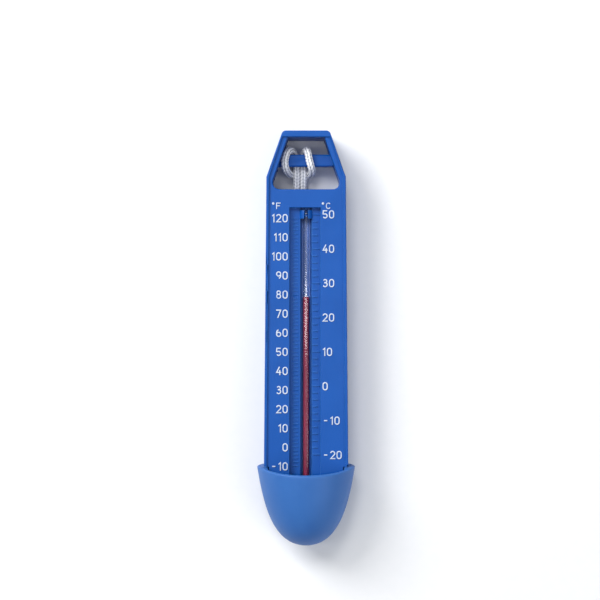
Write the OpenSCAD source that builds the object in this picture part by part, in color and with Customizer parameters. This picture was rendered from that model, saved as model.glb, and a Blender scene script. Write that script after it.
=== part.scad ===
// Floating pool thermometer with a scoop cup and a carrying cord.
// It lies on its back: X across, Y along (cord end at +Y), Z out of the scale face.
// The origin is on the resting plane, under the middle of the object.

/* [Overall size] */
// Length from the top edge to the tip of the cup
overall_length = 150; // [148:0.5:156]
// Depth of the housing, from its open back to the rims beside the scale
housing_depth = 17.5; // [17.2:0.1:19]
// Radius of the scoop cup at its rim
cup_radius = 17.8; // [17.5:0.1:19]
// Height of the cup's centre line above its flat back
cup_centre_height = 11.2; // [10.8:0.1:12]

/* [Housing] */
// Half width of the housing where it meets the cup
housing_half_low = 15.2; // [15:0.1:15.6]
// Half width at the shoulder, where the taper to the top begins
housing_half_shoulder = 14.3; // [14.2:0.1:14.8]
// Half width of the top edge
housing_half_top = 8.9; // [8.4:0.1:9.6]
// Distance from the top edge down to the shoulder
shoulder_drop = 16.7; // [15:0.1:18]
// Thickness of the side walls
wall = 1.5; // [1.3:0.1:1.6]
// How far the scale face lies below its rims
face_recess = 0.8; // [0.5:0.1:1]
// Thickness of the face plate
face_thickness = 1.8; // [1.4:0.1:2]

/* [Cord window] */
// Thickness of the frame above the window
window_top_frame = 2.3; // [1.8:0.1:3]
// Height of the window
window_height = 18.8; // [18:0.1:19.4]
// Height of the cross bar that the cord is tied to
bar_height = 4.5; // [4:0.1:5]
// Thickness of the cross bar from front to back
bar_thickness = 3; // [2.4:0.1:3.2]

/* [Scale] */
// Temperature that the spirit shows, in degrees Celsius
reading = 26; // [-20:1:50]
// Distance along the tube for one degree Celsius
degree_pitch = 1.2373; // [1.2:0.0001:1.25]
// Width of the scale channel
channel_width = 11.2; // [10.8:0.1:11.4]
// Depth of the channel floor below the scale face
channel_depth = 2.4; // [2:0.1:2.6]
// Width of the groove that the tube lies in
groove_width = 4.2; // [4.1:0.1:4.6]
// Height of the figures
figure_height = 3; // [2.6:0.1:3.4]

/* [Tube] */
// Diameter of the glass tube
tube_diameter = 2.8; // [2.4:0.1:3]
// Diameter of its bore
bore_diameter = 1.4; // [0.8:0.1:1.5]
// Diameter of the bulb
bulb_diameter = 4.6; // [4:0.1:4.8]

/* [Cord] */
// Diameter of the braided cord
cord_diameter = 2.4; // [2:0.1:2.4]
// Length of the straight runs of the hank
hank_run = 38; // [36:1:46]

/* [Hidden] */
epsilon = 0.01;
top_y = overall_length / 2;
tip_y = -overall_length / 2;
shoulder_y = top_y - shoulder_drop;
rim_y = tip_y + 28.9; // top of the cup's side ledges
face_z = housing_depth - face_recess;
face_under_z = face_z - face_thickness;

// window and cross bar
window_top_y = top_y - window_top_frame;
window_low_y = window_top_y - window_height;
window_half_top = 6.6;
window_half_low = 12;
window_straight = 3.2; // height of the window's lower corners
window_corner = 2.4; // radius of those corners
bar_low_y = window_low_y + 8.6;
bar_back_z = 6.5;
rail_width = 1.1; // raised rails along the outer edge, on both sides of the scale and the window
notch_width = 0.55; // gaps at the lower ends of the rails
notch_length = 0.8;
notch_depth = 4;

// hollow back
bulkhead = 1.6;
hollow_top_y = window_low_y - bulkhead;
cord_slot_half = 6.5;
cord_slot_z = 6.8;
cover_z = 6.4;
cover_thickness = 1.4;
ledge_width = 0.9;
ledge_depth = 1.1;
nib_length = 6;
nib_height = 0.8;
nib_reach = 0.5;
nib_rows = [-26, 4, 36];

// scale channel and tube
channel_x = -0.4;
channel_top_y = window_low_y - 6.6;
channel_z = face_z - channel_depth;
channel_wall = 1.4;
groove_z = channel_z - 2.7;
groove_wall = 1.2;
tube_z = groove_z + 0.25 + tube_diameter / 2;
tube_top_y = channel_top_y - 0.3;
zero_y = channel_top_y - 64.35; // where the Celsius scale reads 0
fahrenheit_pitch = degree_pitch * 5 / 9;
claw_length = 3;
claw_radius = 2.6;
claw_gap = 1.5;

// spigot of the housing inside the cup
cup_wall = 1.3;
cup_floor = 1.4;
cup_rim_dip = 2.2; // how far the front of the cup's rim dips below its sides
water_half = 13.7; // half width of the water space between the cup's side ledges
spigot_end_y = tip_y + 18;
spigot_half = 13.4;
spigot_clearance = 0.15;
spigot_z = cup_floor + 0.3;
spigot_wall = 1.6;

// bulb, spirit and sleeve
bulb_low_y = spigot_end_y - 10.5;
bulb_neck_y = spigot_end_y - 0.6;
sleeve_length = 4;
sleeve_top_y = spigot_end_y + 5.2;
spirit_clearance = 0.03;
meniscus_length = 1.2;
spirit_top_y = zero_y + reading * degree_pitch;

// figures
stroke = 0.42;
figure_width = 1.9;
one_width = 1.15; // room that the figure 1 takes
minus_width = 2.3; // room that the minus sign takes
figure_gap = 0.42;
figure_relief = 0.25;
tick_relief = 0.3;
tick_width = 0.4;
letter_width = 2.3; // width of F and C before unit_scale
unit_scale = 0.76;
fahrenheit_edge_x = -6.6;
celsius_edge_x = 5.9;
unit_y = channel_top_y + 0.6;

// cord, its hank, tie and end sleeve
cord_radius = cord_diameter / 2;
hank_outer = 12;
hank_slot = 4.7;
hank_top_y = 49.5;
hank_centre_y = hank_top_y - hank_outer;
hank_low_z = 0.5;
hank_high_z = 5.35;
tie_thickness = 0.45;
tie_low_y = 14;
tie_width = 3;
sleeve_y = 34.6; // middle of the sleeve that joins the cord's two ends
end_sleeve_length = 9;
end_sleeve_wall = 0.4;
cord_sides = 8;
cord_steps = 2; // rings for each stretch between two route points
// the cord from the hank, round the cross bar and back to the hank
cord_route = [
    [-5.2, 48, 4.2], [-4.2, 50.6, 4.3], [-3.5, 53.6, 4.5], [-3.4, 57, 4.9], [-3.4, 60.5, 5.1],
    [-3.6, 64.6, 5.1], [-4.2, 67.2, 5.1], [-5, 68.4, 6.6], [-6.1, 68.5, 9.2], [-7, 67.3, 10.9],
    [-7.7, 64.8, 10.9], [-7.6, 62.6, 10.8], [-7, 61, 8.8], [-6.1, 60.2, 5.8], [-4.6, 59.8, 3],
    [-2.1, 59.6, 2.4], [0.5, 59.8, 3], [1.8, 60.2, 5.8], [2.2, 61, 8.8], [1.8, 62.6, 10.8],
    [1.2, 64.8, 10.9], [0.7, 67.3, 10.9], [0.2, 68.5, 9.2], [-0.3, 68.4, 6.6], [-0.7, 67.2, 5.1],
    [-0.9, 64.6, 5.1], [-0.9, 60.5, 5.1], [-0.9, 57, 4.5], [-0.8, 53.6, 3.3], [0.6, 50.6, 2.1],
    [3.6, 49, 1.7]
];

housing_blue = [0.11, 0.36, 0.72];
cup_blue = [0.21, 0.41, 0.67];
cord_white = [0.9, 0.92, 0.95];
spirit_red = [0.75, 0.1, 0.12];

// half width of the housing's outline at height y
function half_width(y) =
    y > shoulder_y
        ? lookup(y, [[shoulder_y, housing_half_shoulder], [top_y, housing_half_top]])
        : lookup(y, [[rim_y, housing_half_low], [shoulder_y, housing_half_shoulder]]);

// points of an arc about centre, from angle a to angle b
function arc(centre, radius, a, b, steps = 8) =
    [for (i = [0:steps]) centre + radius * [cos(a + (b - a) * i / steps), sin(a + (b - a) * i / steps)]];

// an outline's right half, followed by its mirror image
function mirrored(points) = concat(points, [for (i = [len(points) - 1:-1:0]) [-points[i].x, points[i].y]]);

// extrudes a drawing of X and Z along Y
module along_y(from, to) {
    translate([0, to, 0]) rotate([90, 0, 0]) linear_extrude(to - from) children();
}

// a box given by its lowest and highest corners
module block(low, high) {
    translate(low) cube(high - low);
}

// ---- housing ----

module outer_outline() {
    polygon(mirrored([
        [housing_half_low, rim_y],
        [housing_half_shoulder, shoulder_y],
        each arc([housing_half_top - 1.6, top_y - 1.6], 1.6, 17, 90, 6)
    ]));
}

module window_outline() {
    polygon(mirrored([
        each arc([window_half_low - window_corner, window_low_y + window_corner], window_corner, -90, 0, 6),
        [window_half_low, window_low_y + window_straight],
        [window_half_top, window_top_y]
    ]));
}

// the sunk scale face, which also runs up beside the window, between the rails
module face_outline() {
    taper = atan2(housing_half_shoulder - housing_half_top, shoulder_drop);
    polygon(mirrored([
        [housing_half_low - rail_width, tip_y],
        [housing_half_low - rail_width, rim_y],
        [housing_half_shoulder - rail_width, shoulder_y],
        [half_width(window_top_y) - rail_width / cos(taper), window_top_y]
    ]));
}

// gaps at the lower ends of the rails, above the cup's ledges
module rail_notches() {
    for (side = [-1, 1]) {
        translate([side * housing_half_low, rim_y, housing_depth])
            cube([2 * notch_width, 2 * notch_length, 2 * notch_depth], center = true);
    }
}

// the open back, cut to just under the face, less what carries the channel and the cover
module hollow() {
    difference() {
        translate([0, 0, -1]) linear_extrude(face_under_z + 1) polygon(mirrored([
            [half_width(rim_y) - wall, rim_y + wall],
            [half_width(hollow_top_y) - wall, hollow_top_y]
        ]));
        block([channel_x - channel_width / 2 - channel_wall, rim_y - 1, channel_z - channel_wall],
            [channel_x + channel_width / 2 + channel_wall, hollow_top_y + 1, housing_depth]);
        block([-groove_width / 2 - groove_wall, rim_y - 1, groove_z - groove_wall],
            [groove_width / 2 + groove_wall, hollow_top_y + 1, housing_depth]);
        cover_ledges();
    }
}

// two ribs inside the side walls that the cover rests against
module cover_ledges() {
    ledge_z = cover_z + cover_thickness;
    difference() {
        translate([0, 0, ledge_z]) linear_extrude(ledge_depth) polygon(mirrored([
            [half_width(rim_y), rim_y],
            [half_width(hollow_top_y), hollow_top_y]
        ]));
        translate([0, 0, ledge_z - 1]) linear_extrude(ledge_depth + 2) polygon(mirrored([
            [half_width(rim_y) - wall - ledge_width, rim_y - 1],
            [half_width(hollow_top_y) - wall - ledge_width, hollow_top_y + 1]
        ]));
    }
}

// boxes on both side walls, at each nib of the cover
module nib_boxes(grow) {
    for (y = nib_rows, side = [-1, 1]) {
        reach = half_width(y) - wall + nib_reach + grow;
        inner = half_width(y) - wall - 0.8;
        block([min(side * inner, side * reach), y - nib_length / 2 - grow, cover_z + 0.3 - grow],
            [max(side * inner, side * reach), y + nib_length / 2 + grow, cover_z + 0.3 + nib_height + grow]);
    }
}

module cross_bar() {
    intersection() {
        block([-housing_half_low, bar_low_y, bar_back_z],
            [housing_half_low, bar_low_y + bar_height, bar_back_z + bar_thickness]);
        linear_extrude(housing_depth) outer_outline();
    }
}

// the part of the housing that goes into the cup
module spigot_form(grow) {
    intersection() {
        cup_form(cup_wall + spigot_clearance - grow);
        block([-spigot_half - grow, spigot_end_y - grow, spigot_z - grow],
            [spigot_half + grow, rim_y + 1, face_z + grow]);
    }
}

module spigot_hollow() {
    intersection() {
        cup_form(cup_wall + spigot_clearance + spigot_wall);
        difference() {
            block([-spigot_half + spigot_wall, spigot_end_y + spigot_wall, spigot_z + spigot_wall],
                [spigot_half - spigot_wall, rim_y + wall + 1, face_under_z]);
            block([channel_x - channel_width / 2 - channel_wall, tip_y, channel_z - channel_wall],
                [channel_x + channel_width / 2 + channel_wall, 0, housing_depth]);
            block([-groove_width / 2 - groove_wall, tip_y, groove_z - groove_wall],
                [groove_width / 2 + groove_wall, 0, housing_depth]);
        }
    }
}

// a comb of raised ticks on the channel floor, one tooth for each value in the list
module tick_comb(inner, outer, rows, long_every, long_outer) {
    for (i = [0:len(rows) - 1]) {
        reach = i % long_every == 0 ? long_outer : outer;
        block([min(inner, reach), rows[i] - tick_width / 2, channel_z - 0.1],
            [max(inner, reach), rows[i] + tick_width / 2, channel_z + tick_relief]);
    }
}

module scale_ticks() {
    celsius_rows = [for (t = [-20:2:50]) zero_y + t * degree_pitch];
    fahrenheit_rows = [for (t = [-10:2:120]) zero_y + (t - 32) * fahrenheit_pitch];
    tick_comb(channel_x + 2.5, channel_x + 4.5, celsius_rows, 5, channel_x + 5.4);
    tick_comb(channel_x - 2.5, channel_x - 4.4, fahrenheit_rows, 5, channel_x - 4.8);
}

// two snap claws round the upper end of the tube
module claws() {
    claw_top = channel_top_y - 0.9;
    difference() {
        along_y(claw_top - claw_length, claw_top) translate([0, tube_z]) circle(claw_radius, $fn = 48);
        along_y(claw_top - claw_length - 1, claw_top + 1) {
            translate([0, tube_z]) circle(tube_diameter / 2 + 0.05, $fn = 48);
            translate([-claw_gap / 2, tube_z]) square([claw_gap, claw_radius + 1]);
        }
    }
}

module front_housing() {
    color(housing_blue) {
        difference() {
            union() {
                linear_extrude(housing_depth) outer_outline();
                spigot_form(0);
            }
            translate([0, 0, -1]) linear_extrude(housing_depth + 2) window_outline();
            translate([0, 0, face_z]) linear_extrude(housing_depth) face_outline();
            rail_notches();
            hollow();
            spigot_hollow();
            nib_boxes(0.1);
            block([-cord_slot_half, hollow_top_y - 1, -1], [cord_slot_half, window_low_y + 1, cord_slot_z]);
            block([channel_x - channel_width / 2, tip_y, channel_z],
                [channel_x + channel_width / 2, channel_top_y, housing_depth]);
            block([-groove_width / 2, tip_y, groove_z], [groove_width / 2, channel_top_y, housing_depth]);
        }
        cross_bar();
        scale_ticks();
        claws();
    }
}

// ---- cover and floats ----

module rear_cover() {
    edge = wall + 0.2;
    rib_width = 1.2;
    rib_height = 0.9;
    rib_z = cover_z + cover_thickness;
    pull_radius = 4;
    color(housing_blue) difference() {
        union() {
            translate([0, 0, cover_z]) linear_extrude(cover_thickness) polygon(mirrored([
                [half_width(rim_y) - edge, rim_y + wall + 0.2],
                [half_width(hollow_top_y) - edge, hollow_top_y - 0.2]
            ]));
            nib_boxes(0);
            for (x = [-7, 0, 7]) {
                block([x - rib_width / 2, rim_y + 8, rib_z - 0.1], [x + rib_width / 2, 44, rib_z + rib_height]);
            }
        }
        // finger pull at the lower end
        translate([0, rim_y + 6, cover_z - 1]) cylinder(r = pull_radius, h = 1.6, $fn = 48);
    }
}

// one closed-cell foam strip beside the channel, for side -1 or 1
module float_strip(side) {
    low = cover_z + cover_thickness + 1.3;
    inner = groove_width / 2 + groove_wall + 0.4;
    step = channel_width / 2 + channel_wall + abs(channel_x) + 0.4;
    outer = 11.6;
    color([0.93, 0.93, 0.9]) mirror([side < 0 ? 1 : 0, 0, 0]) along_y(rim_y + 6, 48) polygon([
        [inner, low], [outer, low], [outer, face_under_z - 0.4], [step, face_under_z - 0.4],
        [step, channel_z - channel_wall - 0.3], [inner, channel_z - channel_wall - 0.3]
    ]);
}

module float_strip_left() {
    float_strip(-1);
}

module float_strip_right() {
    float_strip(1);
}

// ---- scoop cup ----

// the cup's outline from its rim to its tip, as one curve of radius and Y
function cup_curve(t) =
    let (
        a = [cup_radius, rim_y],
        b = [cup_radius - 2.3, rim_y - 14.4],
        c = [cup_radius - 5.8, tip_y],
        d = [0, tip_y]
    )
    pow(1 - t, 3) * a + 3 * pow(1 - t, 2) * t * b + 3 * (1 - t) * t * t * c + pow(t, 3) * d;

// direction across the cup's outline, pointing out
function cup_normal(t) =
    let (
        low = cup_curve(max(t - 0.01, 0)),
        high = cup_curve(min(t + 0.01, 1)),
        along = (high - low) / norm(high - low)
    )
    [-along.y, along.x];

// the cup's bullet shape, made smaller all over by inset, and open upwards past the rim
module cup_form(inset) {
    steps = 28;
    curve = [
        for (i = [0:steps])
            let (p = cup_curve(i / steps) - inset * cup_normal(i / steps))
            [max(p.x, 0), p.y]
    ];
    translate([0, 0, cup_centre_height]) rotate([-90, 0, 0]) mirror([0, 0, 1]) rotate_extrude($fn = 96)
        polygon(concat(
            [[0, -rim_y - 2], [cup_radius - inset, -rim_y - 2]],
            [for (p = curve) [p.x, -p.y]]
        ));
}

module scoop_cup() {
    dip_angle = atan2(cup_rim_dip, cup_centre_height + cup_radius - face_z);
    color(cup_blue) difference() {
        intersection() {
            cup_form(0);
            block([-cup_radius, tip_y - 1, 0], [cup_radius, rim_y, 2 * cup_radius]);
        }
        // water space in front of the scale and below the spigot
        intersection() {
            cup_form(cup_wall);
            union() {
                block([-water_half, tip_y, face_z], [water_half, rim_y + 1, 2 * cup_radius]);
                block([-water_half, tip_y, cup_floor], [water_half, spigot_end_y, face_z + epsilon]);
            }
        }
        spigot_form(spigot_clearance);
        // the front of the rim leans down
        translate([0, rim_y, face_z]) rotate([dip_angle, 0, 0]) translate([-cup_radius - 1, 0, 0])
            cube([2 * cup_radius + 2, 20, 30]);
    }
}

// ---- tube and spirit ----

module round_rod(diameter, low_y, high_y) {
    along_y(low_y, high_y) translate([0, tube_z]) circle(d = diameter, $fn = 48);
}

// half outline of the bulb's outside, smaller by inset, in radius and distance up from its lower end
function bulb_profile(inset) =
    let (
        r = bulb_diameter / 2 - inset,
        length = bulb_neck_y - bulb_low_y,
        neck = tube_diameter / 2 - inset
    )
    concat(arc([0, inset + r], r, -90, 0, 10), arc([0, length - r], r, 0, acos(neck / r), 6));

module glass_tube() {
    bulb_wall = 0.5;
    color([0.8, 0.84, 0.88, 0.5]) difference() {
        union() {
            round_rod(tube_diameter, bulb_neck_y - 1, tube_top_y - tube_diameter / 2);
            translate([0, tube_top_y - tube_diameter / 2, tube_z]) sphere(d = tube_diameter, $fn = 48);
            bulb_solid(0);
        }
        round_rod(bore_diameter, bulb_neck_y - 1.2, tube_top_y - tube_diameter / 2);
        bulb_solid(bulb_wall);
    }
}

module bulb_solid(inset) {
    profile = bulb_profile(inset);
    translate([0, bulb_low_y, tube_z]) rotate([-90, 0, 0])
        rotate_extrude($fn = 48) polygon(concat(profile, [[0, profile[len(profile) - 1].y]]));
}

module bulb_spirit() {
    color(spirit_red) bulb_solid(0.5 + spirit_clearance);
}

module spirit_column() {
    color(spirit_red)
        round_rod(bore_diameter - 2 * spirit_clearance, bulb_neck_y + 0.4, spirit_top_y - meniscus_length);
}

module spirit_meniscus() {
    color(spirit_red)
        round_rod(bore_diameter - 2 * spirit_clearance, spirit_top_y - meniscus_length, spirit_top_y);
}

// soft ring that seats the tube in its groove, just above the bulb
module bulb_sleeve() {
    color([0.85, 0.85, 0.83]) difference() {
        round_rod(groove_width - 0.1, sleeve_top_y - sleeve_length, sleeve_top_y);
        round_rod(tube_diameter + 0.02, sleeve_top_y - sleeve_length - 1, sleeve_top_y + 1);
    }
}

// ---- figures ----

// direction of a path's segment i; the last point takes the segment before it
function segment_at(path, i) =
    let (j = min(i, len(path) - 2), d = path[j + 1] - path[j])
    d / norm(d);

// half the line's width at point i of a path, across the path and mitred where it bends
function side_at(path, i) =
    let (
        before = segment_at(path, max(i - 1, 0)),
        after = segment_at(path, i),
        sum = before + after,
        mitre = sum / norm(sum),
        width = stroke / 2 / max(mitre * after, 0.5)
    )
    width * [-mitre.y, mitre.x];

// a line of constant width along a path, as one closed outline
module line(path) {
    polygon([
        for (i = [0:len(path) - 1]) path[i] + side_at(path, i),
        for (i = [len(path) - 1:-1:0]) path[i] - side_at(path, i)
    ]);
}

// a closed upright loop, drawn as two halves
module loop(centre, half_w, half_h) {
    rise = half_h - half_w;
    line([centre + [half_w, -0.05], each arc(centre + [0, rise], half_w, 0, 180), centre + [-half_w, -0.05]]);
    line([centre + [-half_w, 0.05], each arc(centre - [0, rise], half_w, 180, 360), centre + [half_w, 0.05]]);
}

// one figure centred on the origin; name is a digit, or "-", "F", "C" or "degree"
module figure(name) {
    w = (figure_width - stroke) / 2;
    h = (figure_height - stroke) / 2;
    half = (letter_width - stroke) / 2;
    if (name == 0) loop([0, 0], w, h);
    if (name == 1) line([[-0.4, h - 0.55], [0.25, h], [0.25, -h - stroke / 2]]);
    if (name == 2) line([each arc([0, h - w], w, 170, -35), [-w, -h], [w + stroke / 2, -h]]);
    if (name == 3) {
        line([each arc([0, h - 0.6], 0.6, 155, -90), [-0.3, h - 1.2]]);
        line([[-0.3, 2 * w - h], each arc([0, w - h], w, 90, -155)]);
    }
    if (name == 4) {
        line([[0.3, h + stroke / 2], [-w, -0.5], [w + stroke / 2, -0.5]]);
        line([[0.4, 0.3], [0.4, -h - stroke / 2]]);
    }
    if (name == 5) line([[w, h], [0.1 - w, h], [-w, 0.15], each arc([0, w - h], w, 125, -150)]);
    if (name == 6) {
        loop([0, w - h], w, w + 0.01);
        line([[-w, w - h], each arc([1.15 - w, 0], 1.15, 180, 115)]);
    }
    if (name == 7) line([[-w - stroke / 2, h], [w, h], [-0.35, -h - stroke / 2]]);
    if (name == 8) {
        loop([0, h - 0.6], 0.6, 0.61);
        loop([0, 0.7 - h], 0.7, 0.71);
    }
    if (name == 9) rotate(180) figure(6);
    if (name == "-") line([[-0.6, 0], [0.6, 0]]);
    if (name == "F") {
        line([[half, h], [-half, h], [-half, -h - stroke / 2]]);
        line([[-half, 0], [half - 0.35, 0]]);
    }
    if (name == "C") line([each arc([0, h - half], half, 30, 180), each arc([0, half - h], half, 180, 330)]);
    if (name == "degree") circle(0.6, $fn = 24);
}

// digits of a whole number, the sign first
function digits(n) =
    n < 0 ? concat(["-"], digits(-n)) : n < 10 ? [n] : concat(digits(floor(n / 10)), [n % 10]);

// room that one mark takes across
function room(mark) = mark == 1 ? one_width : mark == "-" ? minus_width : figure_width;

// distance from the left edge of a number to the left edge of its mark i; the last i gives the whole width
function mark_start(marks, i) = i == 0 ? 0 : mark_start(marks, i - 1) + room(marks[i - 1]) + figure_gap;

// a number with its left edge at edge_x, or with its right edge there when side is -1
module number(n, edge_x, side, y) {
    marks = digits(n);
    width = mark_start(marks, len(marks)) - figure_gap;
    left = side < 0 ? edge_x - width : edge_x;
    for (i = [0:len(marks) - 1]) {
        translate([left + mark_start(marks, i) + room(marks[i]) / 2, y]) figure(marks[i]);
    }
}

module unit_mark(letter, x) {
    translate([x, unit_y]) {
        translate([-1.9, 0.85]) scale(unit_scale) figure("degree");
        scale(unit_scale) figure(letter);
    }
}

module on_face() {
    color([0.95, 0.97, 1]) translate([0, 0, face_z]) linear_extrude(figure_relief) children();
}

module fahrenheit_figures() {
    on_face() {
        for (t = [-10:10:120]) {
            number(t, fahrenheit_edge_x, -1, zero_y + (t - 32) * fahrenheit_pitch);
        }
        unit_mark("F", -9.9);
    }
}

module celsius_figures() {
    on_face() {
        for (t = [-20:10:50]) {
            number(t, celsius_edge_x, 1, zero_y + t * degree_pitch);
        }
        unit_mark("C", 8);
    }
}

// ---- cord ----

// a point of the smooth curve through the route, between points i and i + 1
function route_point(i, t) =
    let (
        last = len(cord_route) - 1,
        a = cord_route[max(i - 1, 0)],
        b = cord_route[i],
        c = cord_route[min(i + 1, last)],
        d = cord_route[min(i + 2, last)]
    )
    0.5 * (2 * b + (c - a) * t + (2 * a - 5 * b + 4 * c - d) * t * t + (3 * b - a - 3 * c + d) * pow(t, 3));

function route_line() = [
    for (i = [0:len(cord_route) - 2], k = [0:cord_steps - 1]) route_point(i, k / cord_steps),
    cord_route[len(cord_route) - 1]
];

// the line's direction at point i
function heading(line, i) =
    let (d = line[min(i + 1, len(line) - 1)] - line[max(i - 1, 0)])
    d / norm(d);

// a direction across the line at each point, carried along so that it doesn't twist
function frames(line, i, last) =
    i == len(line)
        ? []
        : let (h = heading(line, i), raw = last - (last * h) * h, side = raw / norm(raw))
            concat([side], frames(line, i + 1, side));

module cord_run() {
    line = route_line();
    sides = frames(line, 0, [1, 0, 0]);
    rings = [
        for (i = [0:len(line) - 1], k = [0:cord_sides - 1])
            let (u = sides[i], v = cross(heading(line, i), u), a = (k + 0.5) * 360 / cord_sides)
            line[i] + cord_radius * (cos(a) * u + sin(a) * v)
    ];
    faces = [
        [for (k = [0:cord_sides - 1]) k],
        for (i = [0:len(line) - 2], k = [0:cord_sides - 1])
            let (next = (k + 1) % cord_sides, low = i * cord_sides, high = low + cord_sides)
            [low + k, high + k, high + next, low + next],
        [for (k = [cord_sides - 1:-1:0]) (len(line) - 1) * cord_sides + k]
    ];
    color(cord_white) polyhedron(rings, faces, convexity = 6);
}

// a slot shape along Y, with round ends about two centres
module slot_outline(radius, low_y, high_y) {
    polygon(concat(arc([0, high_y], radius, 0, 180, 24), arc([0, low_y], radius, 180, 360, 24)));
}

module cord_hank() {
    color(cord_white) difference() {
        translate([0, 0, hank_low_z]) linear_extrude(hank_high_z - hank_low_z)
            slot_outline(hank_outer, hank_centre_y - hank_run, hank_centre_y);
        linear_extrude(hank_high_z + 1) slot_outline(hank_slot, sleeve_y - 4, hank_centre_y);
    }
}

// crimped sleeve round the cord's two ends, side by side
module end_sleeve() {
    bore_radius = cord_radius + 0.02;
    spacing = cord_radius + 0.1;
    color([0.75, 0.76, 0.78]) along_y(sleeve_y - end_sleeve_length / 2, sleeve_y + end_sleeve_length / 2)
        translate([0, (hank_low_z + hank_high_z) / 2]) difference() {
            union() {
                for (x = [-spacing, spacing]) {
                    translate([x, 0]) circle(bore_radius + end_sleeve_wall, $fn = 48);
                }
                square([2 * spacing, 2 * (bore_radius + end_sleeve_wall)], center = true);
            }
            for (x = [-spacing, spacing]) {
                translate([x, 0]) circle(bore_radius, $fn = 48);
            }
        }
}

module hank_tie() {
    low = hank_low_z - 0.05;
    high = hank_high_z + 0.05;
    inner = hank_outer + 0.05;
    color([0.2, 0.2, 0.22]) difference() {
        block([-inner - tie_thickness, tie_low_y, low - tie_thickness],
            [inner + tie_thickness, tie_low_y + tie_width, high + tie_thickness]);
        block([-inner, tie_low_y - 1, low], [inner, tie_low_y + tie_width + 1, high]);
    }
}

front_housing();
rear_cover();
float_strip_left();
float_strip_right();
scoop_cup();
glass_tube();
bulb_spirit();
bulb_sleeve();
spirit_column();
spirit_meniscus();
fahrenheit_figures();
celsius_figures();
cord_run();
cord_hank();
end_sleeve();
hank_tie();
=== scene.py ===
import math

import bmesh
import bpy
import numpy as np
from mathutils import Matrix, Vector
from mathutils.noise import noise_vector


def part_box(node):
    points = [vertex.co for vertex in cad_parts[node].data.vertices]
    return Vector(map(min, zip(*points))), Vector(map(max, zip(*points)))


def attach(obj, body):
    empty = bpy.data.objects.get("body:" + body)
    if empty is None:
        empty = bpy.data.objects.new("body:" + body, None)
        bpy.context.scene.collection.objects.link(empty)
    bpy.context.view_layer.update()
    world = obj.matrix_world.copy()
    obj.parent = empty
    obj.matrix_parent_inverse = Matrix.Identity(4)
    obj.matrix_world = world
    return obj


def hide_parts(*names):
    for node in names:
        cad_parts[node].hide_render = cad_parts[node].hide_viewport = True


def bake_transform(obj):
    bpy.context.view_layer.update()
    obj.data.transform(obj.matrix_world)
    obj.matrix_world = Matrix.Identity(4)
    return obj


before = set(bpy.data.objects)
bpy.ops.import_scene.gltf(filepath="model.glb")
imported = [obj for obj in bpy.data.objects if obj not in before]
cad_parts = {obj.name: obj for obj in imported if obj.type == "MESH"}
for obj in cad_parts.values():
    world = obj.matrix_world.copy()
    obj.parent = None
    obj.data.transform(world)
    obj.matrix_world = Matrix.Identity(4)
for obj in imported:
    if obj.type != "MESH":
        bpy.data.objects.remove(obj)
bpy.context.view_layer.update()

MM = 0.001

# ---- camera, lights and floor ----

FACE_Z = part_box("fahrenheit_figures")[0].z
VIEW_CENTRE = Vector((-2.2, 14.0, 0)) * MM
CAMERA_HEIGHT = 0.65
FRAME_WIDTH = 0.216  # what the picture's width spans at the scale face
SENSOR = 36


def aim(obj, place, target):
    """Puts a lamp or camera at place, looking at target."""
    obj.location = place
    obj.rotation_euler = (Vector(target) - Vector(place)).to_track_quat("-Z", "Y").to_euler()


def link(obj):
    bpy.context.scene.collection.objects.link(obj)
    return obj


def add_camera():
    data = bpy.data.cameras.new("camera")
    data.sensor_width = SENSOR
    data.lens = SENSOR * (CAMERA_HEIGHT - FACE_Z) / FRAME_WIDTH
    data.clip_start = 0.01
    camera = link(bpy.data.objects.new("camera", data))
    aim(camera, VIEW_CENTRE + Vector((0, 0, CAMERA_HEIGHT)), VIEW_CENTRE)
    bpy.context.scene.camera = camera


def add_lamp(name, place, size, power, tint=(1, 1, 1), size_y=None):
    data = bpy.data.lights.new(name, "AREA")
    data.shape = "RECTANGLE"
    data.size = size
    data.size_y = size_y or size
    data.energy = power
    data.color = tint
    lamp = link(bpy.data.objects.new(name, data))
    aim(lamp, place, (0, 0, 0))
    return lamp


def add_studio():
    add_lamp("key", (-0.55, 0.5, 0.6), 0.45, 8)
    add_lamp("fill", (0.6, -0.32, 0.6), 0.6, 2, (0.95, 0.97, 1))
    add_lamp("sheen", (-0.12, 0.4, 0.78), 0.22, 1.8)
    add_lamp("strip", (-0.1, 0, 0.78), 0.05, 1.4, size_y=1.2)
    world = bpy.data.worlds.new("studio")
    world.use_nodes = True
    background = world.node_tree.nodes["Background"]
    background.inputs["Color"].default_value = (0.9, 0.94, 1, 1)
    background.inputs["Strength"].default_value = 0.3
    bpy.context.scene.world = world
    bpy.context.scene.view_settings.view_transform = "Standard"


def new_mesh(name, points, faces, material=None, smooth=True):
    """A new object from lists of points and faces."""
    mesh = bpy.data.meshes.new(name)
    mesh.from_pydata([tuple(p) for p in points], [], faces)
    mesh.update()
    if material:
        mesh.materials.append(material)
    mesh.shade_smooth() if smooth else mesh.shade_flat()
    return link(bpy.data.objects.new(name, mesh))


def tube_faces(rings, sides, closed_ends=True):
    """Faces of a tube made of rings of points, with the ring index running slowest."""
    faces = []
    for i in range(rings - 1):
        for k in range(sides):
            a, b = i * sides + k, i * sides + (k + 1) % sides
            faces.append((a, b, b + sides, a + sides))
    if closed_ends:
        last = (rings - 1) * sides
        faces.append(tuple(reversed(range(sides))))
        faces.append(tuple(range(last, last + sides)))
    return faces


def merge_points(obj, outwards=True):
    """Joins points that lie in the same place, and turns the faces outwards if asked."""
    bm = bmesh.new()
    bm.from_mesh(obj.data)
    bmesh.ops.remove_doubles(bm, verts=bm.verts, dist=0.001 * MM)
    if outwards:
        bmesh.ops.recalc_face_normals(bm, faces=bm.faces)
    bm.to_mesh(obj.data)
    bm.free()


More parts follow.
